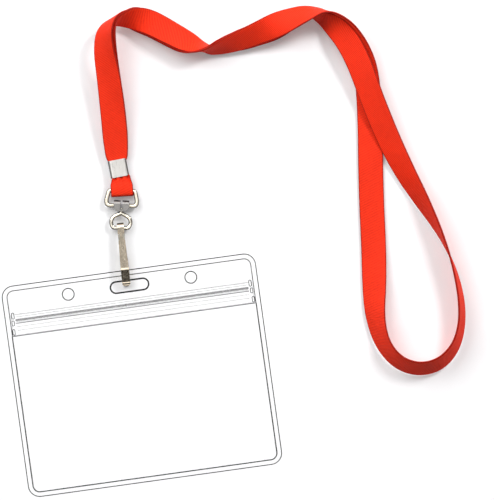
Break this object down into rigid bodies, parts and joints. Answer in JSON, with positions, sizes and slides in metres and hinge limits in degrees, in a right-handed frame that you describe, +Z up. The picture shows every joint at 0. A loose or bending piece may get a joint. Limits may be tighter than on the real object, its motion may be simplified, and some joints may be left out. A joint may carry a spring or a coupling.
{
  "type": "lanyard badge holder",
  "caption": "Flat ribbon neck lanyard with a crimped swivel J-hook carrying a clear vinyl badge holder that closes with a zip strip.",
  "frame": {"origin": "on the table under the middle of the badge holder, hook and crimp", "axes": "+X along the badge holder's width, +Y from the badge holder towards the lanyard, +Z up from the table"},
  "size_m": [0.1742, 0.1794, 0.0147],
  "materials": {
    "ribbon": "woven, matt",
    "nickel": "nickel plated",
    "vinyl": "clear, gloss"
  },
  "bodies": {
    "lanyard": {"neck_ribbon": "ribbon", "bail_loop": "ribbon", "crimp": "nickel"},
    "bail": {"d_bail": "nickel"},
    "saddle": {"swivel_saddle": "nickel"},
    "eye": {"eye_loop": "nickel"},
    "hook": {"hook_body": "nickel", "gate_collar": "nickel"},
    "gate": {"hook_gate": "nickel"},
    "badge": {"back_film": "vinyl", "header_film": "vinyl", "perimeter_weld": "vinyl", "weld_bead": "vinyl", "front_film": "vinyl", "zip_channel": "vinyl", "zip_end_welds": "vinyl"},
    "lip": {"zip_lip": "vinyl", "zip_rail": "vinyl", "grip_ribs": "vinyl"}
  },
  "joints": [
    {"name": "bail_pivot", "type": "hinge", "parent": "lanyard", "child": "bail", "pos_m": [0.00214, 0.04945, 0.002], "axis": [0.9848, -0.1736, 0], "range_deg": [-70, 70]},
    {"name": "saddle_pivot", "type": "hinge", "parent": "bail", "child": "saddle", "pos_m": [0.00115, 0.04384, 0.002], "axis": [0.9848, -0.1736, 0], "range_deg": [-45, 45]},
    {"name": "swivel_spin", "type": "hinge", "parent": "saddle", "child": "eye", "pos_m": [0.00115, 0.04384, 0.002], "axis": [0.1736, 0.9848, 0], "continuous": true},
    {"name": "hook_swing", "type": "hinge", "parent": "eye", "child": "hook", "pos_m": [-0.00032, 0.03547, 0.002], "axis": [0.9994, -0.0349, 0], "range_deg": [-65, 65]},
    {"name": "gate_flex", "type": "hinge", "parent": "hook", "child": "gate", "pos_m": [-0.00049, 0.03077, 0.00308], "axis": [-0.9994, 0.0349, 0], "range_deg": [0, 12], "stiffness_Nm_per_rad": 0.004},
    {"name": "badge_rock", "type": "hinge", "parent": "hook", "child": "badge", "pos_m": [-0.0011, 0.01366, 0.0014], "axis": [0, -0.014, 0.9999], "range_deg": [-12, 12]},
    {"name": "zip_open", "type": "hinge", "parent": "badge", "child": "lip", "pos_m": [0, 0.00051, 0.0021], "axis": [1, 0, 0], "range_deg": [0, 18]}
  ]
}
